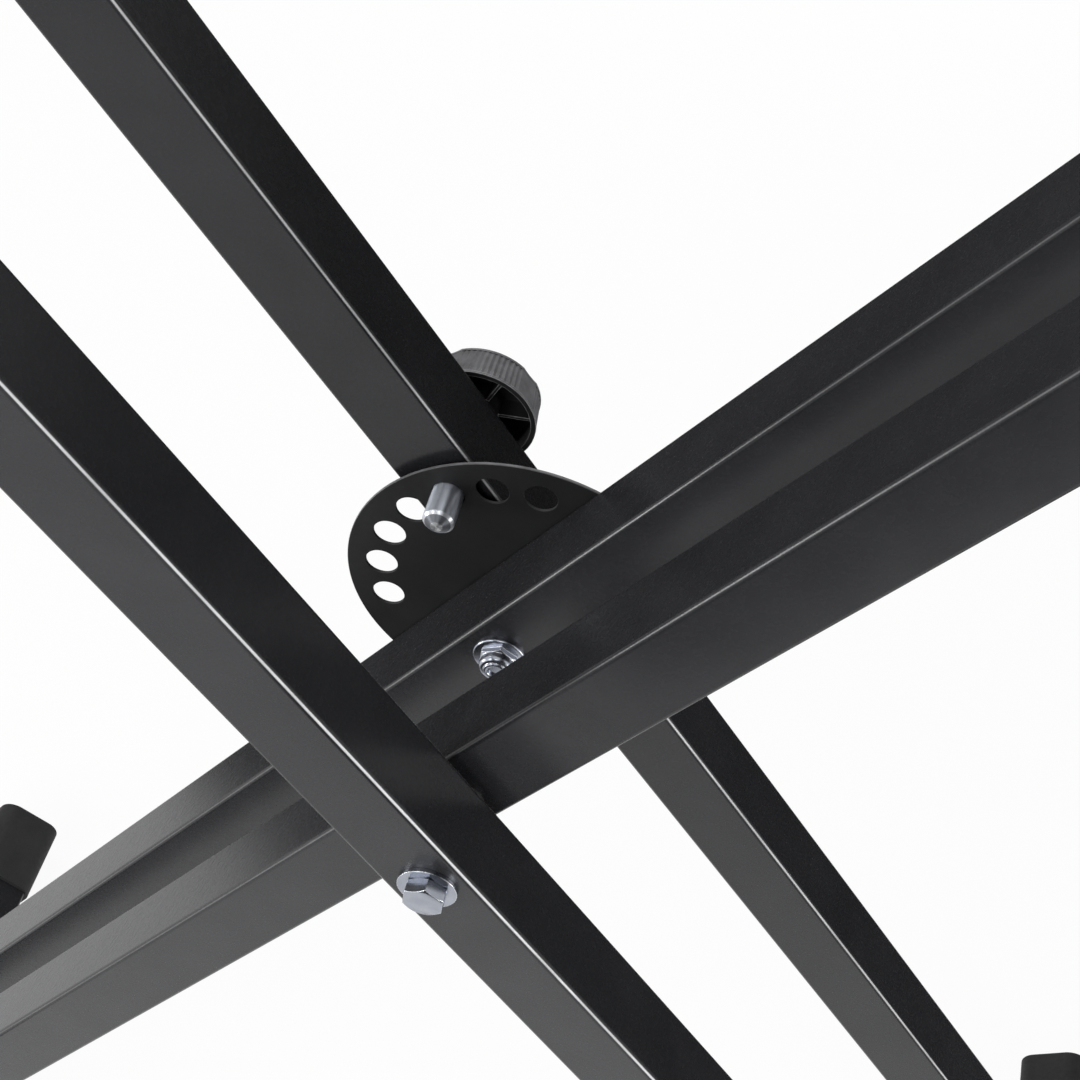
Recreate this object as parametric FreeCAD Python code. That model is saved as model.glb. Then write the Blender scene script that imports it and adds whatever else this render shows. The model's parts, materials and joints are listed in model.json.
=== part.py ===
import FreeCAD, Part
import math
import os

# Double-braced X keyboard stand. X runs across the stand, Y along the pivot axis with the pull knob at +Y,
# Z up. The origin is on the floor, under the middle of the pivot axis.
V = FreeCAD.Vector
ORIGIN = V(0, 0, 0)
AXIS_X = V(1, 0, 0)
AXIS_Y = V(0, 1, 0)
AXIS_Z = V(0, 0, 1)

# Square tube of the legs and bars
TUBE = 30.0
TUBE_WALL = 1.5
TUBE_CORNER_R = 2.0

# How the legs stand
HALF_ANGLE = 34.7  # degrees from the vertical to each leg
LEG_REACH = 530.0  # pivot axis to the middle of each bar, along the leg
PAIR_GAP = 32.0  # clear space between the two inner legs
FOOT_BAR_L = 300.0
TOP_BAR_L = 300.0

# End caps of the bars
CAP_WALL = 3.0
CAP_CORNER_R = 9.0
CAP_SLEEVE_L = 40.0
CAP_END_T = 4.0
CAP_EDGE_R = 1.5
CAP_POCKET_R = 1.0
LIP_RISE = 9.0
LIP_CORNER_R = 14.0
LIP_T = 8.0

# Locking disc
DISC_R = 65.0
DISC_T = 1.2
DISC_EDGE = 0.2
HOLE_RING_R = 52.0
HOLE_R = 6.05
HOLE_EDGE = 0.15
HOLE_PITCH = 18.9  # degrees
HOLES_NARROWER = 2  # positions with the legs closer together than at rest
HOLES_WIDER = 4

# Pivot hardware
BOLT_R = 4.0
BOLT_FIT = 0.1
BOLT_CHAMFER = 0.9
HEX_ACROSS = 13.0
HEX_CHAMFER = 0.7
HEAD_H = 5.3
HEAD_WASHER_R = 10.0
HEAD_WASHER_T = 1.6
SLIDE_WASHER_R = 10.0
SLIDE_WASHER_T = 3.3
SLEEVE_WALL = 2.0
NUT_FLANGE_R = 9.7
NUT_FLANGE_EDGE = 1.3
NUT_FLANGE_ROUND = 0.6
NUT_FLANGE_H = 1.8
NUT_HEX_H = 3.6
NUT_COLLAR_R = 6.4
NUT_COLLAR_H = 4.3
NUT_COLLAR_ROUND = 1.7
NUT_MOUTH_R = 2.7
NUT_MOUTH_T = 1.2
NUT_BEAD_R = 4.5  # rounded locking ring at the end of the collar
NUT_BEAD_H = 0.8
NUT_BEAD_ROUND = 0.75

# Plunger
PIN_R = 5.7
PIN_FIT = 0.1
PIN_SIDE = 1.9  # pin off the leg's middle line, towards the top of the disc
PIN_REACH = 15.5  # nose past the disc's front face
PIN_CHAMFER = 1.0
PIN_NOSE_L = 1.8
PIN_NOSE_R = 2.0
PIN_SEAT_R = 4.0
SEAT_FIT = 0.05
CLIP_R = 8.0
CLIP_T = 1.2
CLIP_SET = 0.1  # clip off the tube wall that stops it
CLIP_GROOVE = 0.8
CLIP_FIT = 0.1
CLIP_MOUTH = 6.0
BUSH_WALL = 2.2
BUSH_FIT = 0.05
BUSH_FLANGE = 1.8
BUSH_FLANGE_T = 1.5
SPRING_WIRE_R = 0.5
SPRING_CLEAR = 0.6
SPRING_TURNS = 5.5

# Pull knob
KNOB_STAND = 5.0  # open rim off the outer rear leg
KNOB_H = 14.0
KNOB_RIM_R = 22.2
KNOB_END_R = 20.9
KNOB_BAND = 1.0  # plain band at each end of the knurls
KNOB_BAND_PROUD = 0.1
KNOB_WALL = 2.0
KNOB_END_T = 3.0
KNOB_HUB_R = 7.5
KNOB_HUB_SET = 1.0
KNOB_RIBS = 6
KNOB_RIB_TURN = 31.0  # degrees from the leg's side face to the first rib
KNOB_RIB_T = 1.2
KNOB_RIB_SET = 3.0
KNOB_LOBES = 4
KNOB_LOBE_TURN = 47.7  # degrees from the leg's side face to the middle of a knurled lobe
KNURLS = 12  # grooves on each lobe
KNURL_DEPTH = 0.35
HOLLOW_SPAN = 22.5  # degrees of the smooth hollow between two lobes
HOLLOW_STEPS = 6  # flats across a hollow
HOLLOW_RIM_DEPTH = 0.25
HOLLOW_END_DEPTH = 0.65
SEAT_COVER = 2.0  # plastic behind the pin's end

# Places that follow from the sizes above
CAP_SIZE = TUBE + 2 * CAP_WALL
LIP_SIZE = CAP_SIZE + 2 * LIP_RISE
LEG_HALF_L = LEG_REACH - TUBE / 2
INNER_Y = PAIR_GAP / 2 + TUBE / 2
INNER_FACE = PAIR_GAP / 2 + TUBE
DISC_BACK = INNER_FACE + DISC_T
OUTER_FRONT = DISC_BACK + SLIDE_WASHER_T
OUTER_Y = OUTER_FRONT + TUBE / 2
OUTER_FACE = OUTER_FRONT + TUBE
TILT = math.radians(HALF_ANGLE)
SOLE_DROP = (CAP_SIZE / 2 - CAP_CORNER_R) * (math.cos(TILT) + math.sin(TILT)) + CAP_CORNER_R
PIVOT_Z = LEG_REACH * math.cos(TILT) + SOLE_DROP
PIN_ALONG = math.sqrt(HOLE_RING_R ** 2 - PIN_SIDE ** 2)
PIN_ANGLE = 2 * HALF_ANGLE - math.degrees(math.asin(PIN_SIDE / HOLE_RING_R))
PIN_TIP = INNER_FACE - PIN_REACH
CLIP_Y = OUTER_FRONT + TUBE_WALL + CLIP_SET
KNOB_Y = OUTER_FACE + KNOB_STAND
BORE_R = BOLT_R + BOLT_FIT
NUT_H = NUT_HEX_H + NUT_COLLAR_H


def rounded_square(size, radius):
    """Face of a square with round corners, in the XZ plane, centred on the Y axis."""
    c = size / 2 - radius
    edges = []
    for turn in range(4):
        a = math.radians(90 * turn)
        out = V(math.cos(a), 0, math.sin(a))
        side = V(-math.sin(a), 0, math.cos(a))
        edges.append(Part.makeLine(out * (size / 2) - side * c, out * (size / 2) + side * c))
        corner = out * c + side * c
        middle = corner + (out + side) * (radius / math.sqrt(2))
        edges.append(Part.Arc(corner + out * radius, middle, corner + side * radius).toShape())
    return Part.Face(Part.Wire(edges))


def prism(size, radius, y0, y1):
    """Round-cornered square bar along Y from y0 to y1."""
    shape = rounded_square(size, radius).extrude(AXIS_Y * (y1 - y0))
    shape.translate(AXIS_Y * y0)
    return shape


def square_tube(length):
    """Hollow square tube along Y, centred."""
    bore_r = max(TUBE_CORNER_R - TUBE_WALL, TUBE_CORNER_R / 4)
    outside = prism(TUBE, TUBE_CORNER_R, -length / 2, length / 2)
    return outside.cut(prism(TUBE - 2 * TUBE_WALL, bore_r, -length / 2, length / 2))


def rod(radius, y0, y1, x=0.0, z=0.0):
    """Round bar along Y from y0 to y1."""
    return Part.makeCylinder(radius, y1 - y0, V(x, y0, z), AXIS_Y)


def ring(outer_r, inner_r, y0, y1, x=0.0, z=0.0):
    return rod(outer_r, y0, y1, x, z).cut(rod(inner_r, y0, y1, x, z))


def turned(points):
    """Solid of revolution about Y from (radius, y) points that start and end on the axis."""
    face = Part.Face(Part.makePolygon([V(r, y, 0) for r, y in points + points[:1]]))
    return face.revolve(ORIGIN, AXIS_Y, 360)


def hexagon(y0, y1):
    """Hexagon bar along Y with both ends chamfered."""
    corner = HEX_ACROSS / math.sqrt(3)
    turns = [math.radians(60 * k) for k in range(7)]
    outline = Part.makePolygon([V(corner * math.cos(a), y0, corner * math.sin(a)) for a in turns])
    hex_bar = Part.Face(outline).extrude(AXIS_Y * (y1 - y0))
    inside = HEX_ACROSS / 2
    wide = max(corner, inside + HEX_CHAMFER * math.tan(math.radians(60)))
    barrel = turned([
        (0, y0), (inside, y0), (wide, y0 + HEX_CHAMFER),
        (wide, y1 - HEX_CHAMFER), (inside, y1), (0, y1),
    ])
    return hex_bar.common(barrel)


def mirrored(shape):
    return shape.mirror(ORIGIN, AXIS_Y)


def inner(shape):
    """From the upright leg frame, pivot at the origin, to the inner legs' place."""
    placed = shape.copy()
    placed.rotate(ORIGIN, AXIS_Y, HALF_ANGLE)
    placed.translate(AXIS_Z * PIVOT_Z)
    return placed


def outer(shape):
    """From the upright leg frame, pivot at the origin, to the outer legs' place."""
    placed = shape.copy()
    placed.rotate(ORIGIN, AXIS_Y, -HALF_ANGLE)
    placed.translate(AXIS_Z * PIVOT_Z)
    return placed


def leg(y_mid):
    """Leg tube, upright, with its pivot hole."""
    tube = square_tube(2 * LEG_HALF_L)
    tube.rotate(ORIGIN, AXIS_X, 90)
    tube.translate(AXIS_Y * y_mid)
    return tube.cut(rod(BORE_R, y_mid - TUBE, y_mid + TUBE))


def outer_rear_leg():
    """Leg tube that carries the plunger, with the pin's hole and the bush's hole."""
    pin_hole = rod(PIN_R + PIN_FIT, OUTER_FRONT - TUBE_WALL, OUTER_Y, PIN_SIDE, PIN_ALONG)
    bush_r = PIN_R + PIN_FIT + BUSH_WALL + BUSH_FIT
    bush_hole = rod(bush_r, OUTER_Y, OUTER_FACE + TUBE_WALL, PIN_SIDE, PIN_ALONG)
    return leg(OUTER_Y).cut(pin_hole.fuse(bush_hole))


def bar(length, along):
    """Foot or top bar across the leg ends."""
    tube = square_tube(length)
    tube.translate(AXIS_Z * along)
    return tube


def end_edges(shape, y):
    """Edges that lie in the plane at y."""
    return [e for e in shape.Edges if abs(e.BoundBox.YMin - y) < 1e-6 and abs(e.BoundBox.YMax - y) < 1e-6]


def foot_cap(bar_l, along):
    """Rubber cap over the +Y end of a foot bar."""
    y_open = bar_l / 2 - CAP_SLEEVE_L
    y_end = bar_l / 2 + CAP_END_T
    body = prism(CAP_SIZE, CAP_CORNER_R, y_open, y_end)
    body = body.makeFillet(CAP_EDGE_R, end_edges(body, y_end))
    body = body.cut(prism(TUBE, CAP_POCKET_R, y_open, bar_l / 2))
    body.translate(AXIS_Z * along)
    return body


def top_cap(bar_l, along):
    """Rubber cap over the +Y end of a top bar, with a lip all round."""
    y_open = bar_l / 2 - CAP_SLEEVE_L
    y_end = bar_l / 2 + CAP_END_T
    lip = prism(LIP_SIZE, LIP_CORNER_R, y_end - LIP_T, y_end)
    lip = lip.makeFillet(CAP_EDGE_R, end_edges(lip, y_end) + end_edges(lip, y_end - LIP_T))
    body = prism(CAP_SIZE, CAP_CORNER_R, y_open, y_end - CAP_END_T / 2).fuse(lip)
    body = body.cut(prism(TUBE, CAP_POCKET_R, y_open, bar_l / 2)).removeSplitter()
    body.translate(AXIS_Z * along)
    return body


def locking_disc():
    """Steel disc on the back of the inner rear leg, with its ring of holes."""
    disc = rod(DISC_R, INNER_FACE, DISC_BACK)
    disc = disc.makeChamfer(DISC_EDGE, end_edges(disc, INNER_FACE) + end_edges(disc, DISC_BACK))
    cuts = [rod(BORE_R, INNER_FACE, DISC_BACK)]
    for step in range(-HOLES_NARROWER, HOLES_WIDER + 1):
        a = math.radians(PIN_ANGLE + step * HOLE_PITCH)
        hole = turned([
            (0, INNER_FACE), (HOLE_R + HOLE_EDGE, INNER_FACE), (HOLE_R, INNER_FACE + HOLE_EDGE),
            (HOLE_R, DISC_BACK - HOLE_EDGE), (HOLE_R + HOLE_EDGE, DISC_BACK), (0, DISC_BACK),
        ])
        hole.translate(V(-HOLE_RING_R * math.sin(a), 0, HOLE_RING_R * math.cos(a)))
        cuts.append(hole)
    return disc.cut(Part.makeCompound(cuts))


def rear_bolt():
    """Pivot bolt of the rear legs, head behind the outer leg, end in the gap."""
    y_head = OUTER_FACE + HEAD_WASHER_T
    y_tip = PAIR_GAP / 2 - NUT_H + NUT_MOUTH_T
    shank = turned([
        (0, y_tip), (BOLT_R - BOLT_CHAMFER, y_tip), (BOLT_R, y_tip + BOLT_CHAMFER),
        (BOLT_R, y_head + HEX_CHAMFER), (0, y_head + HEX_CHAMFER),
    ])
    return shank.fuse(hexagon(y_head, y_head + HEAD_H)).removeSplitter()


def rear_nut():
    """Flange nut with a rounded locking collar, on the front of the inner rear leg."""
    y0 = PAIR_GAP / 2
    neck = HEX_ACROSS / 2 - HEX_CHAMFER
    flange = turned([
        (0, y0), (NUT_FLANGE_R, y0), (NUT_FLANGE_R, y0 - NUT_FLANGE_EDGE),
        (neck, y0 - NUT_FLANGE_H), (0, y0 - NUT_FLANGE_H),
    ])
    flange = flange.makeFillet(NUT_FLANGE_ROUND, end_edges(flange, y0 - NUT_FLANGE_EDGE))
    y_end = y0 - NUT_H
    y_brim = y_end + NUT_BEAD_H
    collar = ring(NUT_COLLAR_R, NUT_MOUTH_R, y_brim, y0 - NUT_HEX_H + HEX_CHAMFER)
    brim = [e for e in end_edges(collar, y_brim) if e.Curve.Radius > (NUT_COLLAR_R + NUT_MOUTH_R) / 2]
    collar = collar.makeFillet(NUT_COLLAR_ROUND, brim)
    bead = ring(NUT_BEAD_R, NUT_MOUTH_R, y_end, y_brim + NUT_BEAD_H)
    bead = bead.makeFillet(NUT_BEAD_ROUND, end_edges(bead, y_end))
    body = flange.fuse([hexagon(y0 - NUT_HEX_H, y0 - NUT_FLANGE_EDGE / 2), collar, bead])
    return body.cut(rod(BOLT_R + SEAT_FIT, y_end + NUT_MOUTH_T - SEAT_FIT, y0)).removeSplitter()


def pivot_sleeve(y_mid):
    """Spacer tube inside a leg, round the pivot bolt."""
    half = TUBE / 2 - TUBE_WALL
    return ring(BORE_R + SLEEVE_WALL, BORE_R, y_mid - half, y_mid + half)


def at_pin(shape):
    """From the Y axis to the plunger's axis on the outer rear leg."""
    moved = shape.copy()
    moved.translate(V(PIN_SIDE, 0, PIN_ALONG))
    return moved


def locking_pin():
    """Steel pin with a coned nose, a clip groove and a seat for the knob."""
    groove_r = PIN_R - CLIP_GROOVE
    shoulder = KNOB_Y + KNOB_HUB_SET
    seat_end = KNOB_Y + KNOB_H - SEAT_COVER
    return turned([
        (0, PIN_TIP), (PIN_NOSE_R, PIN_TIP), (PIN_R - PIN_CHAMFER, PIN_TIP + PIN_NOSE_L),
        (PIN_R, PIN_TIP + PIN_NOSE_L + PIN_CHAMFER),
        (PIN_R, CLIP_Y - CLIP_FIT / 2), (groove_r, CLIP_Y - CLIP_FIT / 2),
        (groove_r, CLIP_Y + CLIP_T + CLIP_FIT / 2), (PIN_R, CLIP_Y + CLIP_T + CLIP_FIT / 2),
        (PIN_R, shoulder), (PIN_SEAT_R, shoulder), (PIN_SEAT_R, seat_end), (0, seat_end),
    ])


def pin_clip():
    """Open retaining ring in the pin's groove."""
    clip = ring(CLIP_R, PIN_R - CLIP_GROOVE + CLIP_FIT, CLIP_Y, CLIP_Y + CLIP_T)
    mouth = Part.makeBox(CLIP_MOUTH, CLIP_T, CLIP_R + CLIP_FIT, V(-CLIP_MOUTH / 2, CLIP_Y, 0))
    return clip.cut(mouth)


def plunger_bush():
    """Flanged guide in the back wall of the outer rear leg."""
    bore = PIN_R + PIN_FIT
    sleeve = rod(bore + BUSH_WALL, OUTER_FACE - TUBE_WALL, OUTER_FACE)
    flange = rod(bore + BUSH_WALL + BUSH_FLANGE, OUTER_FACE, OUTER_FACE + BUSH_FLANGE_T)
    body = sleeve.fuse(flange).removeSplitter()
    return body.cut(rod(bore, OUTER_FACE - TUBE_WALL, OUTER_FACE + BUSH_FLANGE_T))


def arc_from(p, tangent, reach, q):
    """Arc that leaves p along tangent and ends at q, its corner point reach away from p."""
    half = (q - p) * 0.5
    corner = p + tangent * reach
    rise = corner - (p + half)
    bend = math.atan2(rise.Length, half.Length)
    middle = p + half + rise * (half.Length * math.tan(bend / 2) / rise.Length)
    return Part.Arc(p, middle, q).toShape()


def biarc(p0, t0, p1, t1):
    """Two arcs, tangent to each other, from p0 along t0 to p1 along t1."""
    v = p1 - p0
    a = 2 * (1 - t0.dot(t1))
    b = 2 * v.dot(t0 + t1)
    reach = (math.sqrt(b * b + 4 * a * v.dot(v)) - b) / (2 * a)
    joint = (p0 + t0 * reach + p1 - t1 * reach) * 0.5
    return [arc_from(p0, t0, reach, joint), arc_from(p1, -t1, reach, joint)]


def plunger_spring():
    """Wound spring round the pin, from the clip to the back wall."""
    coil_r = PIN_R + SPRING_CLEAR + SPRING_WIRE_R
    y0 = CLIP_Y + CLIP_T + SPRING_WIRE_R
    y1 = OUTER_FACE - TUBE_WALL - SPRING_WIRE_R
    steps = round(SPRING_TURNS * 4)
    rise = (y1 - y0) / steps
    slope = rise / (coil_r * math.pi / 2)
    points = []
    tangents = []
    for k in range(steps + 1):
        a = k * math.pi / 2
        points.append(V(coil_r * math.cos(a), y0 + k * rise, coil_r * math.sin(a)))
        along = V(-math.sin(a), slope, math.cos(a))
        tangents.append(along.normalize())
    edges = []
    for k in range(steps):
        edges += biarc(points[k], tangents[k], points[k + 1], tangents[k + 1])
    path = Part.Wire(Part.__sortEdges__(edges))
    section = Part.Wire(Part.makeCircle(SPRING_WIRE_R, points[0], tangents[0]))
    shell = Part.BRepOffsetAPI.MakePipeShell(path)
    shell.add(section)
    shell.build()
    shell.makeSolid()
    gap = min((points[k + 4] - points[k]).Length for k in range(steps - 3)) - 2 * SPRING_WIRE_R
    print("plunger spring: least gap between turns %.2f mm" % gap)
    return shell.shape()


def grip_outline(radius, y, hollow, grooves):
    """Outline of the grip in the plane at y: lobes with smooth hollows between them."""
    points = []
    pitch = 360 / KNOB_LOBES
    lobe_span = pitch - HOLLOW_SPAN
    for lobe in range(KNOB_LOBES):
        start = KNOB_LOBE_TURN - lobe_span / 2 + pitch * lobe
        for k in range(0, 2 * KNURLS + 1, 1 if grooves else 2):
            points.append((radius - KNURL_DEPTH * (k % 2), start + lobe_span * k / (2 * KNURLS)))
        for k in range(1, HOLLOW_STEPS):
            across = 2 * k / HOLLOW_STEPS - 1
            r = radius - hollow * (1 - across ** 2)
            points.append((r, start + lobe_span + HOLLOW_SPAN * k / HOLLOW_STEPS))
    corners = [V(r * math.cos(math.radians(a)), y, r * math.sin(math.radians(a))) for r, a in points]
    return Part.makePolygon(corners + corners[:1])


def pull_knob():
    """Lobed cup that opens towards the leg, knurled on the lobes, with a hub and ribs inside."""
    y_end = KNOB_Y + KNOB_H
    y_floor = y_end - KNOB_END_T
    rim_r = KNOB_RIM_R - KNOB_BAND_PROUD
    end_r = KNOB_END_R - KNOB_BAND_PROUD
    body = Part.makeLoft([
        grip_outline(rim_r, KNOB_Y + KNOB_BAND, HOLLOW_RIM_DEPTH, True),
        grip_outline(end_r, y_end - KNOB_BAND, HOLLOW_END_DEPTH, True),
    ], True, True)
    end_band = Part.Face(grip_outline(KNOB_END_R, y_end - KNOB_BAND, HOLLOW_END_DEPTH, False))
    end_band = end_band.extrude(V(0, KNOB_BAND, 0))
    body = body.fuse([rod(KNOB_RIM_R, KNOB_Y, KNOB_Y + KNOB_BAND), end_band])
    taper = (KNOB_RIM_R - KNOB_END_R) * (KNOB_H - KNOB_END_T) / KNOB_H
    mouth_r = KNOB_RIM_R - KNOB_WALL
    body = body.cut(turned([(0, KNOB_Y), (mouth_r, KNOB_Y), (mouth_r - taper, y_floor), (0, y_floor)]))
    inside = [rod(KNOB_HUB_R, KNOB_Y + KNOB_HUB_SET, y_floor)]
    rib_l = mouth_r - taper + KNOB_WALL / 2
    rib_y = KNOB_Y + KNOB_RIB_SET
    for k in range(KNOB_RIBS):
        rib = Part.makeBox(rib_l, y_floor - rib_y, KNOB_RIB_T, V(0, rib_y, -KNOB_RIB_T / 2))
        rib.rotate(ORIGIN, AXIS_Y, KNOB_RIB_TURN + 360 * k / KNOB_RIBS)
        inside.append(rib)
    body = body.fuse(inside)
    return body.cut(rod(PIN_SEAT_R + SEAT_FIT, KNOB_Y, y_end - SEAT_COVER))


def pair(shape):
    """The rear piece and its mirror image at the front, as one node."""
    return Part.makeCompound([shape, mirrored(shape)])


def slide_washer():
    return ring(SLIDE_WASHER_R, BORE_R, DISC_BACK, OUTER_FRONT)


def front_spacer():
    return mirrored(ring(SLIDE_WASHER_R, BORE_R, INNER_FACE, OUTER_FRONT))


def head_washer():
    return ring(HEAD_WASHER_R, BORE_R, OUTER_FACE, OUTER_FACE + HEAD_WASHER_T)


def build():
    foot = foot_cap(FOOT_BAR_L, -LEG_REACH)
    top = top_cap(TOP_BAR_L, LEG_REACH)
    return {
        "inner_front_leg": inner(leg(-INNER_Y)),
        "inner_rear_leg": inner(leg(INNER_Y)),
        "inner_foot_bar": inner(bar(FOOT_BAR_L, -LEG_REACH)),
        "inner_top_bar": inner(bar(TOP_BAR_L, LEG_REACH)),
        "inner_foot_cap_rear": inner(foot),
        "inner_foot_cap_front": inner(mirrored(foot)),
        "inner_top_cap_rear": inner(top),
        "inner_top_cap_front": inner(mirrored(top)),
        "inner_pivot_sleeves": inner(pair(pivot_sleeve(INNER_Y))),
        "locking_disc": inner(locking_disc()),
        "pivot_bolts": inner(pair(rear_bolt())),
        "pivot_nuts": inner(pair(rear_nut())),
        "bolt_head_washers": inner(pair(head_washer())),
        "rear_slide_washer": inner(slide_washer()),
        "front_leg_spacer": inner(front_spacer()),
        "outer_front_leg": outer(leg(-OUTER_Y)),
        "outer_rear_leg": outer(outer_rear_leg()),
        "outer_foot_bar": outer(bar(FOOT_BAR_L, -LEG_REACH)),
        "outer_top_bar": outer(bar(TOP_BAR_L, LEG_REACH)),
        "outer_foot_cap_rear": outer(foot),
        "outer_foot_cap_front": outer(mirrored(foot)),
        "outer_top_cap_rear": outer(top),
        "outer_top_cap_front": outer(mirrored(top)),
        "outer_pivot_sleeves": outer(pair(pivot_sleeve(OUTER_Y))),
        "plunger_bush": outer(at_pin(plunger_bush())),
        "plunger_spring": outer(at_pin(plunger_spring())),
        "locking_pin": outer(at_pin(locking_pin())),
        "pin_clip": outer(at_pin(pin_clip())),
        "pull_knob": outer(at_pin(pull_knob())),
    }


os.makedirs("parts", exist_ok=True)
for name, shape in build().items():
    solids = len(shape.Solids)
    print("%s: %d solid(s), valid %s, %.1f cm3" % (name, solids, shape.isValid(), shape.Volume / 1000))
    shape.exportStep("parts/%s.step" % name)
print("pivot axis at z = %.2f mm" % PIVOT_Z)
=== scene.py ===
import json
import math

import bmesh
import bpy
from mathutils import Matrix, Vector


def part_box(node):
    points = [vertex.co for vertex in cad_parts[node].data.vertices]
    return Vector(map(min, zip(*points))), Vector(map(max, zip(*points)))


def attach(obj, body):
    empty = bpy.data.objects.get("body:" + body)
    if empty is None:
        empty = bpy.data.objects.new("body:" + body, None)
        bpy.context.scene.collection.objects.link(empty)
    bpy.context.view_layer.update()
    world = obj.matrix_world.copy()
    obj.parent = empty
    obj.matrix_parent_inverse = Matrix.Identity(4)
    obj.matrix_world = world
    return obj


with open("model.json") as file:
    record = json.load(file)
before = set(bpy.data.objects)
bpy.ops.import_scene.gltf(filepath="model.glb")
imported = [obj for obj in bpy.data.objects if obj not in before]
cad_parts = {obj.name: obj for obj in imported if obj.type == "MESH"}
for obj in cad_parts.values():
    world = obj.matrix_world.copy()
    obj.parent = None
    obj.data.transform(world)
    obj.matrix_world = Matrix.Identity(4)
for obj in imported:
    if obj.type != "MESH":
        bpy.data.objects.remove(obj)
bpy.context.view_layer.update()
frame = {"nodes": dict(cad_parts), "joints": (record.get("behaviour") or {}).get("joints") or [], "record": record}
nodes = frame["nodes"]

# Places and sizes of the stand, in metres and radians
PIVOT = Vector(frame["joints"][0]["pos_m"])
HALF_ANGLE = math.radians(34.7)  # of a leg from upright
TUBE = 0.030
LEG_END = 0.515  # from the pivot to where a leg stands on its bar
INNER_Y = 0.031  # middle of an inner leg, on either side of the stand's middle
OUTER_Y = 0.0655

# Where looks change on a piece: from, to
DISC_RIM = (0.0638, 0.0644)  # distance from the pivot
KNOB_GRIP = (0.0196, 0.0202)  # distance from the knob's axis
KNOB_MOUTH = (0.0036, 0.0032)  # distance from the knob's open end
PIN_NOSE = (0.0030, 0.0027)  # distances from the pin's tip
PIN_CONE = (0.0019, 0.0017)
PIN_POINT = (0.0002, 0.0001)

NOISE_LOW, NOISE_HIGH = 0.3, 0.7  # the part of a noise that is spread over a look's range
BEVEL_SAMPLES = 6

# Shading of round pieces
ROUND_NODES = ("locking_pin", "pivot_nuts", "pivot_bolts", "bolt_head_washers", "pull_knob",
               "plunger_spring")
SHARP_ANGLE = math.radians(28)
JOIN_DISTANCE = 2e-6

# Weld beads
BEAD_R = 0.0024
BEAD_SUNK = 0.0004  # how deep a bead's middle lies in the leg and in the bar
BEAD_SHORT = 0.003  # how much shorter a bead is than the tube is wide
BEAD_RINGS = 61
BEAD_SIDES = 14
BEAD_RIPPLES = 11

# Camera, solved from the photograph
SENSOR_MM = 36.0
LENS_MM = 65.10
CAMERA_FROM_PIVOT = Vector((0.079336, -0.400581, 0.543675))
CAMERA_RIGHT = Vector((0.97248079, 0.22589536, 0.05702973))
CAMERA_DOWN = Vector((0.20660742, -0.7230226, -0.65920535))
CAMERA_FORWARD = Vector((-0.10767765, 0.65284731, -0.74979725))

# Studio
CARD_X = 1.6  # how far the cards reach to either side
CARD_Y = 0.5  # how far back they stand
BACK_CARD_H = 0.80
FLOOR_CARD_Z = 0.002
TOP_CARD_UP = 1.2
FRONT_CARD = Vector((0.0165, -0.165, -0.112))  # from the pivot
FLOOR_R = 6.0
FLOOR_SEGMENTS = 96
PAPER_GLOW = 0.94  # share of the floor's look that is plain white light
FILL_LIGHT = 0.3  # strength of the white surroundings where they only light the part


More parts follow.
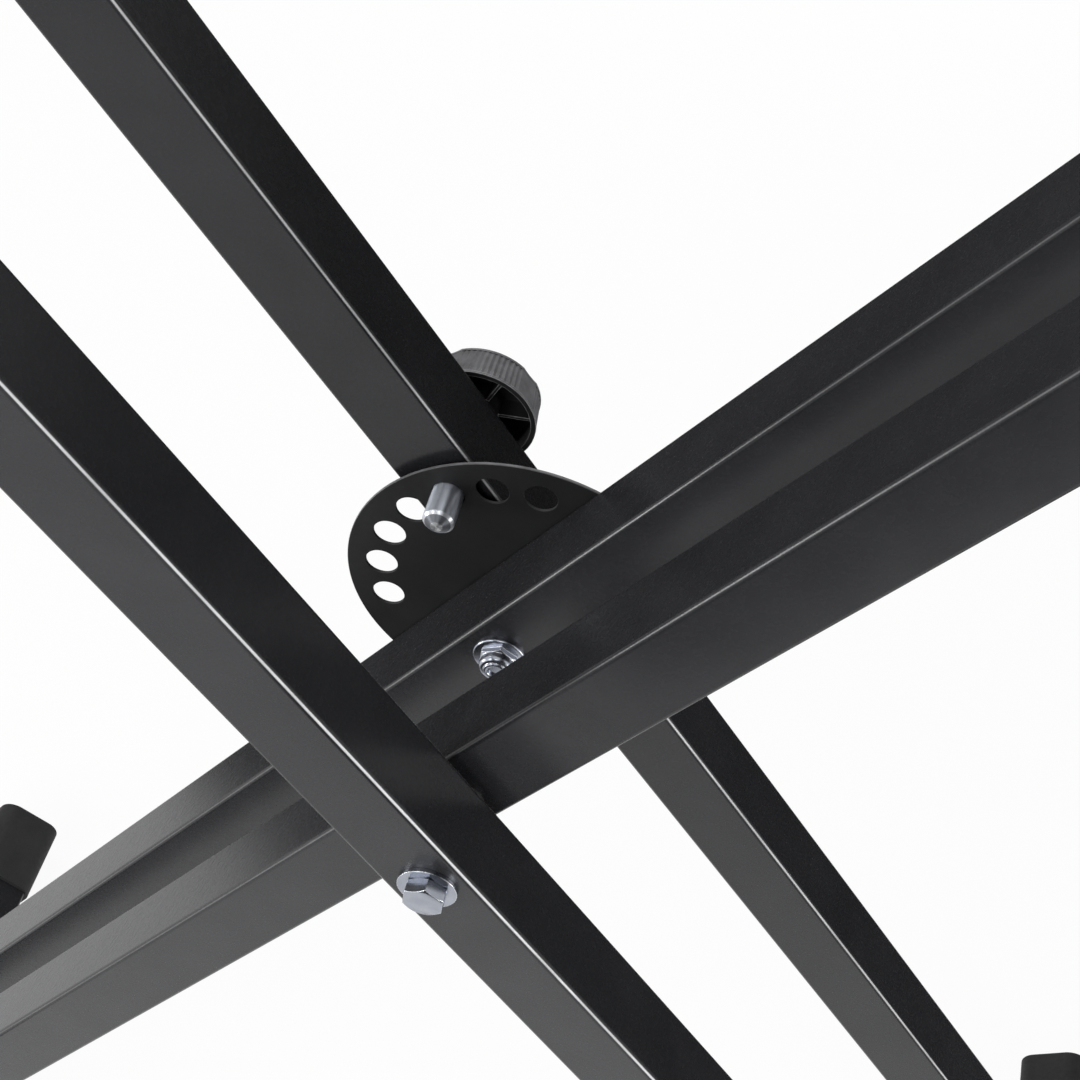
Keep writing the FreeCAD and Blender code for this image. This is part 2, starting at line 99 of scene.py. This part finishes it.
class Look:
    """A material on the Principled shader, with short helpers to wire its nodes."""

    def __init__(self, name, **sockets):
        self.mat = bpy.data.materials.new(name)
        self.mat.use_nodes = True
        self.tree = self.mat.node_tree
        self.shader = self.tree.nodes["Principled BSDF"]
        for socket, value in sockets.items():
            self.shader.inputs[socket.replace("_", " ")].default_value = value
        self.coords = self.add("ShaderNodeTexCoord")

    def add(self, kind, inputs=None, **props):
        node = self.tree.nodes.new(kind)
        for key, value in props.items():
            setattr(node, key, value)
        for key, value in (inputs or {}).items():
            if isinstance(value, bpy.types.NodeSocket):
                self.tree.links.new(value, node.inputs[key])
            else:
                node.inputs[key].default_value = value
        return node

    def axis(self, kind, index):
        """X, Y or Z of the place on the piece (Object) or of its normal (Normal)."""
        return self.add("ShaderNodeSeparateXYZ", {"Vector": self.coords.outputs[kind]}).outputs[index]

    def math(self, operation, *values):
        return self.add("ShaderNodeMath", dict(enumerate(values)), operation=operation).outputs[0]

    def vector_math(self, operation, *values):
        return self.add("ShaderNodeVectorMath", dict(enumerate(values)), operation=operation).outputs

    def span(self, value, low, high, to_low=0.0, to_high=1.0):
        return self.add("ShaderNodeMapRange", {"Value": value, "From Min": low, "From Max": high,
                                               "To Min": to_low, "To Max": to_high}).outputs[0]

    def stretched(self, scale):
        place = self.coords.outputs["Object"]
        return self.add("ShaderNodeMapping", {"Vector": place, "Scale": scale}).outputs[0]

    def noise(self, scale, detail=2.0, vector=None):
        place = vector or self.coords.outputs["Object"]
        inputs = {"Vector": place, "Scale": scale, "Detail": detail}
        return self.add("ShaderNodeTexNoise", inputs).outputs["Fac"]

    def spread(self, noise, to_low, to_high):
        return self.span(noise, NOISE_LOW, NOISE_HIGH, to_low, to_high)

    def tones(self, scale, detail, dark, light):
        """Colour that wanders between two tones."""
        node = self.add("ShaderNodeValToRGB", {"Fac": self.noise(scale, detail)})
        stops = ((NOISE_LOW, dark), (NOISE_HIGH, light))
        for element, (place, colour) in zip(node.color_ramp.elements, stops):
            element.position = place
            element.color = (*colour, 1)
        return node.outputs["Color"]

    def mix(self, factor, first, second):
        node = self.add("ShaderNodeMix", data_type="RGBA")
        for index, value in ((0, factor), (6, first), (7, second)):
            if isinstance(value, bpy.types.NodeSocket):
                self.tree.links.new(value, node.inputs[index])
            else:
                node.inputs[index].default_value = (*value, 1)
        return node.outputs[2]

    def bump(self, height, strength, distance, below=None):
        inputs = {"Height": height, "Strength": strength, "Distance": distance}
        if below:
            inputs["Normal"] = below
        return self.add("ShaderNodeBump", inputs).outputs[0]

    def corner(self, turn, start, full):
        """1 on the rounded corners and chamfers of a piece whose flat faces follow axes turned about Y."""
        facing = {"Vector": self.coords.outputs["Normal"], "Angle": -turn}
        turned = self.add("ShaderNodeVectorRotate", facing, rotation_type="Y_AXIS").outputs[0]
        size = self.vector_math("ABSOLUTE", turned)[0]
        parts = self.add("ShaderNodeSeparateXYZ", {"Vector": size}).outputs
        most = self.math("MAXIMUM", self.math("MAXIMUM", parts[0], parts[1]), parts[2])
        return self.span(most, start, full)

    def along_y(self, start, full):
        """1 on faces that run along Y, such as rims and bores."""
        return self.span(self.math("ABSOLUTE", self.axis("Normal", 1)), start, full)

    def off_axis(self, x, z):
        """Distance from the line along Y through x, z."""
        flat = self.vector_math("MULTIPLY", self.coords.outputs["Object"], (1, 0, 1))[0]
        return self.vector_math("DISTANCE", flat, (x, 0, z))["Value"]

    def rounded(self, radius):
        """Normal that rounds sharp edges over a small radius."""
        return self.add("ShaderNodeBevel", {"Radius": radius}, samples=BEVEL_SAMPLES).outputs[0]

    def edge(self, radius, start, full):
        """1 along sharp edges."""
        flat = self.add("ShaderNodeNewGeometry").outputs["Normal"]
        return self.span(self.vector_math("DOT_PRODUCT", self.rounded(radius), flat)["Value"], start, full)

    def set(self, **links):
        for socket, value in links.items():
            self.tree.links.new(value, self.shader.inputs[socket.replace("_", " ")])
        return self.mat


def powder_coat(name, turn, line_from, line_full, line_gloss, rubbed_and_highlight):
    """Satin black powder coat: orange peel, a little mottle, and the upper corners painted lighter, as rubbed
    paint and as a painted highlight line.
    """
    look = Look(name, Specular_IOR_Level=0.31)
    body = look.tones(38.0, 3.0, (0.0150, 0.0153, 0.0172), (0.0200, 0.0204, 0.0226))
    bend = look.corner(turn, line_from, line_full)
    # The upward-facing corners are painted lighter: partly rubbed paint, and partly a painted highlight line where
    # light catches the rounded corner.
    upper = look.math("MULTIPLY", bend, look.span(look.axis("Normal", 2), 0.1, 0.3, 0.1, 1.0))
    worn_and_highlight = look.math("MULTIPLY", upper, look.span(look.noise(55.0, 4.0), 0.25, 0.6, 0.6, 1.0))
    satin = look.spread(look.noise(420.0, 3.0), 0.25, 0.29)
    rough = look.math("SUBTRACT", satin, look.span(bend, 0.0, 1.0, 0.0, line_gloss))
    peel = look.bump(look.noise(900.0, 1.5), 0.04, 0.0002)
    grain = look.bump(look.noise(2600.0), 0.015, 0.00005, peel)
    return look.set(Base_Color=look.mix(worn_and_highlight, body, rubbed_and_highlight), Roughness=rough, Normal=grain)


def disc_paint():
    """Matt black paint, paler on the cut rim: thin paint there, and a painted highlight line."""
    look = Look("disc_paint", Specular_IOR_Level=0.2)
    body = look.tones(60.0, 3.0, (0.008, 0.008, 0.0085), (0.012, 0.012, 0.0125))
    outside = look.span(look.off_axis(PIVOT.x, PIVOT.z), *DISC_RIM, 0.12, 1.0)
    # The outer rim is painted paler: partly thin paint on the cut edge, partly a painted highlight line along the
    # rim.
    rim = look.math("MULTIPLY", look.along_y(0.9, 0.5), outside)
    worn_and_highlight = look.math("MULTIPLY", rim, look.span(look.noise(140.0, 3.0), 0.3, 0.6, 0.6, 1.0))
    rough = look.spread(look.noise(300.0, 3.0), 0.5, 0.62)
    return look.set(Base_Color=look.mix(worn_and_highlight, body, (0.26, 0.26, 0.27)), Roughness=rough,
                    Normal=look.bump(look.noise(1500.0), 0.1, 0.0001))


def turned_zinc():
    """Zinc over fine turning marks that stretch the gloss along the pin; a painted highlight ring on the chamfer,
    and painted shade on the cone, which is also rougher.
    """
    look = Look("zinc_turned", Metallic=0.9, Anisotropic=0.9, Anisotropic_Rotation=0.25)
    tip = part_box("locking_pin")[0][1]
    along = look.axis("Object", 1)
    nose_highlight, cone_shade_and_rough, point = (look.span(along, tip + start, tip + full)
                         for start, full in (PIN_NOSE, PIN_CONE, PIN_POINT))
    tone = look.tones(300.0, 3.0, (0.47, 0.50, 0.56), (0.57, 0.60, 0.66))
    # The nose is painted: a bright painted highlight ring on the chamfer, painted shade on the cone, and a mid
    # tone on the flat point.
    tone = look.mix(nose_highlight, tone, (0.68, 0.70, 0.74))
    tone = look.mix(cone_shade_and_rough, tone, (0.20, 0.21, 0.23))
    tone = look.mix(point, tone, (0.36, 0.37, 0.38))
    lines = look.noise(1.0, vector=look.stretched((20.0, 5000.0, 20.0)))
    rough = look.math("ADD", look.spread(lines, 0.38, 0.46), look.span(cone_shade_and_rough, 0.0, 1.0, 0.0, 0.15))
    around = look.add("ShaderNodeTangent", direction_type="RADIAL", axis="Y").outputs[0]
    return look.set(Base_Color=tone, Roughness=rough, Tangent=around, Normal=look.rounded(0.0002))


def bright_zinc():
    """Bright plated nuts, bolt heads and washers, painted lighter along their edges as rubbed metal and as a
    painted highlight.
    """
    look = Look("zinc_bright", Metallic=1.0)
    tone = look.tones(160.0, 3.0, (0.33, 0.35, 0.40), (0.41, 0.43, 0.48))
    # Edges painted lighter: rubbed metal and a painted highlight along the edges.
    rubbed_and_highlight = look.edge(0.0004, 0.97, 0.88)
    rough = look.spread(look.noise(240.0, 3.0), 0.20, 0.27)
    return look.set(Base_Color=look.mix(rubbed_and_highlight, tone, (0.85, 0.87, 0.91)), Roughness=rough,
                    Normal=look.rounded(0.0004))


def drawn_steel():
    """Bare steel with fine drawing lines."""
    look = Look("drawn_steel", Metallic=1.0)
    tone = look.tones(220.0, 3.0, (0.40, 0.39, 0.38), (0.56, 0.55, 0.54))
    lines = look.noise(1.0, vector=look.stretched((900.0, 60.0, 900.0)))
    return look.set(Base_Color=tone, Roughness=look.spread(lines, 0.28, 0.42),
                    Normal=look.bump(lines, 0.1, 0.00005))


def moulded(name, dark, light, rough, grain, depth, specular):
    """Moulded plastic or rubber, or felt, with a fine grain."""
    look = Look(name, Specular_IOR_Level=specular)
    return look.set(Base_Color=look.tones(90.0, 4.0, dark, light),
                    Roughness=look.spread(look.noise(500.0, 3.0), *rough),
                    Normal=look.bump(look.noise(grain), 0.3, depth))


def knob_plastic():
    """Black moulded plastic, with painted light: the grip's outer face painted grey for the light on the knurled
    side, and a painted highlight, with some rubbing, along the edges of its mouth.
    """
    look = Look("knob_plastic", Specular_IOR_Level=0.5)
    low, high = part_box("pull_knob")
    off = look.off_axis((low[0] + high[0]) / 2, (low[2] + high[2]) / 2)
    black = look.tones(90.0, 4.0, (0.016, 0.016, 0.017), (0.022, 0.022, 0.023))
    painted_light_grey = look.tones(260.0, 4.0, (0.15, 0.15, 0.157), (0.23, 0.229, 0.24))
    # Painted light: the grip's outer face is painted grey for the light that falls on it, while the inside stays
    # black.
    painted_light_grip = look.math("MULTIPLY", look.along_y(0.75, 0.45), look.span(off, *KNOB_GRIP))
    mouth = look.span(look.axis("Object", 1), *(low[1] + depth for depth in KNOB_MOUTH))
    patchy = look.span(look.noise(200.0, 3.0), 0.3, 0.6, 0.5, 1.0)
    # Painted highlight along the edges near the mouth, with some rubbed plastic.
    rubbed_and_highlight = look.math("MULTIPLY", look.math("MULTIPLY", look.edge(0.0005, 0.97, 0.86), patchy), mouth)
    tone = look.mix(rubbed_and_highlight, look.mix(painted_light_grip, black, painted_light_grey), (0.75, 0.75, 0.76))
    rough = look.spread(look.noise(500.0, 3.0), 0.34, 0.46)
    return look.set(Base_Color=tone, Roughness=rough,
                    Normal=look.bump(look.noise(1500.0), 0.3, 0.0001, look.rounded(0.0003)))


coat = {
    # Last colour: the upper corners' colour, rubbed paint plus a painted highlight line, faint on the inner legs
    # and bright on the outer legs.
    "inner": powder_coat("coat_inner", HALF_ANGLE, 0.81, 0.74, 0.0, (0.11, 0.11, 0.113)),
    "outer": powder_coat("coat_outer", -HALF_ANGLE, 0.87, 0.77, 0.07, (0.70, 0.70, 0.71)),
}
pin_zinc = turned_zinc()
nut_zinc = bright_zinc()
looks = {
    "disc_coat": disc_paint(),
    "cap_rubber": moulded("cap_rubber", (0.015, 0.015, 0.016), (0.022, 0.022, 0.023), rough=(0.62, 0.78),
                          grain=1800.0, depth=0.0002, specular=0.3),
    "bare_steel": drawn_steel(),
    "nylon": moulded("nylon", (0.024, 0.024, 0.026), (0.034, 0.034, 0.036), rough=(0.42, 0.54),
                     grain=1200.0, depth=0.0001, specular=0.4),
    "knob_plastic": knob_plastic(),
}


def dress(piece, mat):
    piece.data.materials.clear()
    piece.data.materials.append(mat)


def round_shading():
    """Modifier tree that joins a node's faces and shades them smooth, apart from its sharp edges."""
    group = bpy.data.node_groups.new("round_shading", "GeometryNodeTree")
    for way in ("INPUT", "OUTPUT"):
        group.interface.new_socket("Geometry", in_out=way, socket_type="NodeSocketGeometry")
    new = group.nodes.new
    join = new("GeometryNodeMergeByDistance")
    join.inputs["Distance"].default_value = JOIN_DISTANCE
    plain = new("GeometryNodeRemoveAttribute")
    plain.inputs["Name"].default_value = "custom_normal"
    faces = new("GeometryNodeSetShadeSmooth")
    edges = new("GeometryNodeSetShadeSmooth")
    edges.domain = "EDGE"
    small = new("FunctionNodeCompare")
    small.operation = "LESS_THAN"
    small.inputs["B"].default_value = SHARP_ANGLE
    group.links.new(new("GeometryNodeInputMeshEdgeAngle").outputs["Unsigned Angle"], small.inputs["A"])
    group.links.new(small.outputs["Result"], edges.inputs["Shade Smooth"])
    chain = [new("NodeGroupInput"), join, plain, faces, edges, new("NodeGroupOutput")]
    for before, after in zip(chain, chain[1:]):
        group.links.new(before.outputs["Geometry"], after.inputs["Geometry"])
    return group


shading = round_shading()
for name in ROUND_NODES:
    nodes[name].modifiers.new("round_shading", "NODES").node_group = shading

for part in frame["record"]["subparts"]:
    name, slot = part["node"], part["material_slot"]
    if slot == "black_coat":
        dress(nodes[name], coat["inner" if name.startswith("inner") else "outer"])
    elif slot == "zinc":
        dress(nodes[name], pin_zinc if name == "locking_pin" else nut_zinc)
    else:
        dress(nodes[name], looks[slot])


def leg_frame(turn):
    """Axes of a leg turned about the pivot, with Z along the leg."""
    return Matrix.Translation(PIVOT) @ Matrix.Rotation(turn, 4, "Y")


def bead_ring(mesh, place, centre, radius):
    ring = []
    for k in range(BEAD_SIDES):
        turn = 2 * math.pi * k / BEAD_SIDES
        spot = centre + Vector((0, radius * math.cos(turn), radius * math.sin(turn)))
        ring.append(mesh.verts.new(place @ spot))
    return ring


def bead(mesh, place, middle, shift):
    """One rippled bead across the leg, thinner at its ends; shift varies its ripples."""
    before = None
    for k in range(BEAD_RINGS):
        along = k / (BEAD_RINGS - 1)
        ripple = abs(math.sin(math.pi * along * BEAD_RIPPLES + 0.6 * math.sin(7 * along + shift)))
        taper = min(1.0, math.sin(math.pi * along) * 5 + 0.25)
        across = Vector(((along - 0.5) * (TUBE - BEAD_SHORT), 0, 0))
        ring = bead_ring(mesh, place, middle + across, BEAD_R * taper * (0.86 + 0.16 * ripple))
        if before:
            for j in range(BEAD_SIDES):
                mesh.faces.new((before[j], before[j - 1], ring[j - 1], ring[j]))
        else:
            mesh.faces.new(ring)
        before = ring
    mesh.faces.new(before[::-1])


def weld_beads(name, turn, leg_y, body):
    """Beads along the two sides of each leg end that stands on a bar."""
    mesh = bmesh.new()
    for end in (-1, 1):
        for side_y in (leg_y, -leg_y):
            for face in (-1, 1):
                middle = Vector((0, side_y + face * (TUBE / 2 - BEAD_SUNK), end * (LEG_END + BEAD_SUNK)))
                bead(mesh, leg_frame(turn), middle, face + end)
    bmesh.ops.recalc_face_normals(mesh, faces=mesh.faces)
    data = bpy.data.meshes.new(name)
    mesh.to_mesh(data)
    mesh.free()
    data.shade_smooth()
    piece = bpy.data.objects.new(name, data)
    bpy.context.scene.collection.objects.link(piece)
    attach(piece, body)
    return piece


dress(weld_beads("inner_weld_beads", HALF_ANGLE, INNER_Y, "inner_frame"), coat["inner"])
dress(weld_beads("outer_weld_beads", -HALF_ANGLE, OUTER_Y, "outer_frame"), coat["outer"])

camera = bpy.data.objects.new("camera", bpy.data.cameras.new("camera"))
camera.data.sensor_width = SENSOR_MM
camera.data.lens = LENS_MM
camera.data.clip_start = 0.01
facing = Matrix((CAMERA_RIGHT, -CAMERA_DOWN, -CAMERA_FORWARD)).transposed()
camera.matrix_world = Matrix.Translation(PIVOT + CAMERA_FROM_PIVOT) @ facing.to_4x4()
bpy.context.scene.collection.objects.link(camera)
bpy.context.scene.camera = camera


def lamp(name, toward, distance, width, height, watts):
    """White lamp that faces the pivot from the given direction."""
    data = bpy.data.lights.new(name, "AREA")
    data.shape = "RECTANGLE"
    data.size, data.size_y, data.energy = width, height, watts
    piece = bpy.data.objects.new(name, data)
    spot = Vector(toward).normalized()
    piece.location = PIVOT + spot * distance
    piece.rotation_euler = spot.to_track_quat("Z", "Y").to_euler()
    bpy.context.scene.collection.objects.link(piece)


lamp("key", (-0.35, -0.82, 0.46), 1.8, 1.4, 0.9, 20.0)
lamp("side_left", (-0.92, -0.38, -0.09), 1.7, 0.5, 0.55, 11.0)
lamp("side_right", (0.85, -0.52, -0.05), 1.7, 0.5, 0.7, 12.0)
lamp("top_left", (-0.50, 0.45, 0.72), 1.8, 0.9, 0.6, 9.0)
lamp("rear", (0.0, 1.0, 0.0), 1.8, 1.4, 0.9, 9.0)

felt = moulded("black_felt", (0.03, 0.03, 0.03), (0.05, 0.05, 0.05), rough=(0.9, 1.0),
               grain=300.0, depth=0.001, specular=0.1)


def flag(name, corners, shades=False):
    """Dark studio card that shapes the reflections; the camera doesn't see it."""
    data = bpy.data.meshes.new(name)
    data.from_pydata(corners, [], [(0, 1, 2, 3)])
    data.materials.append(felt)
    piece = bpy.data.objects.new(name, data)
    bpy.context.scene.collection.objects.link(piece)
    piece.visible_camera = False
    piece.visible_shadow = piece.visible_diffuse = shades


def rectangle(left, right, near, far):
    """Corners in order round it."""
    return (left, near), (right, near), (right, far), (left, far)


def beside_inner_leg(along, up):
    """Point in the plane of the front card, by its distance along the inner legs and square to them."""
    return PIVOT + FRONT_CARD + leg_frame(HALF_ANGLE).to_3x3() @ Vector((-up, 0, along))


flag("flag_back", [(x, CARD_Y, z) for x, z in rectangle(-CARD_X, CARD_X, 0.0, BACK_CARD_H)])
flag("flag_right", [(x, y, FLOOR_CARD_Z) for x, y in rectangle(0.36, CARD_X, -0.1, CARD_Y)])
flag("flag_top", [PIVOT + Vector((x, y, TOP_CARD_UP)) for x, y in rectangle(0.3, 1.0, -1.5, 1.5)],
     shades=True)
flag("flag_front", [beside_inner_leg(*spot) for spot in rectangle(0.05, 0.40, -0.012, 0.13)])
flag("flag_left", [(x, y, FLOOR_CARD_Z) for x, y in rectangle(-CARD_X, -0.25, 0.32, CARD_Y)])


def seen(tree):
    """1 for rays that show the background, from the camera or from gloss, and 0 for rays that only light."""
    path = tree.nodes.new("ShaderNodeLightPath")
    either = tree.nodes.new("ShaderNodeMath")
    either.operation = "MAXIMUM"
    tree.links.new(path.outputs["Is Camera Ray"], either.inputs[0])
    tree.links.new(path.outputs["Is Glossy Ray"], either.inputs[1])
    return either.outputs[0]


world = bpy.data.worlds.new("studio")
bpy.context.scene.world = world
world.use_nodes = True
tree = world.node_tree
level = tree.nodes.new("ShaderNodeMapRange")
level.inputs["To Min"].default_value = FILL_LIGHT
level.inputs["To Max"].default_value = 1.0
tree.links.new(seen(tree), level.inputs["Value"])
tree.nodes["Background"].inputs["Color"].default_value = (1, 1, 1, 1)
tree.links.new(level.outputs[0], tree.nodes["Background"].inputs["Strength"])

floor_mesh = bmesh.new()
bmesh.ops.create_circle(floor_mesh, cap_ends=True, radius=FLOOR_R, segments=FLOOR_SEGMENTS)
floor_data = bpy.data.meshes.new("floor")
floor_mesh.to_mesh(floor_data)
floor_mesh.free()
floor = bpy.data.objects.new("floor", floor_data)
bpy.context.scene.collection.objects.link(floor)
paper = bpy.data.materials.new("white_paper")
paper.use_nodes = True
tree = paper.node_tree
shader = tree.nodes["Principled BSDF"]
shader.inputs["Base Color"].default_value = (0.9, 0.9, 0.9, 1)
shader.inputs["Roughness"].default_value = 0.9
glow = tree.nodes.new("ShaderNodeEmission")
share = tree.nodes.new("ShaderNodeMapRange")
share.inputs["To Max"].default_value = PAPER_GLOW
tree.links.new(seen(tree), share.inputs["Value"])
blend = tree.nodes.new("ShaderNodeMixShader")
tree.links.new(share.outputs[0], blend.inputs["Fac"])
tree.links.new(shader.outputs[0], blend.inputs[1])
tree.links.new(glow.outputs[0], blend.inputs[2])
tree.links.new(blend.outputs[0], tree.nodes["Material Output"].inputs["Surface"])
floor_data.materials.append(paper)

bpy.context.scene.view_settings.view_transform = "Standard"
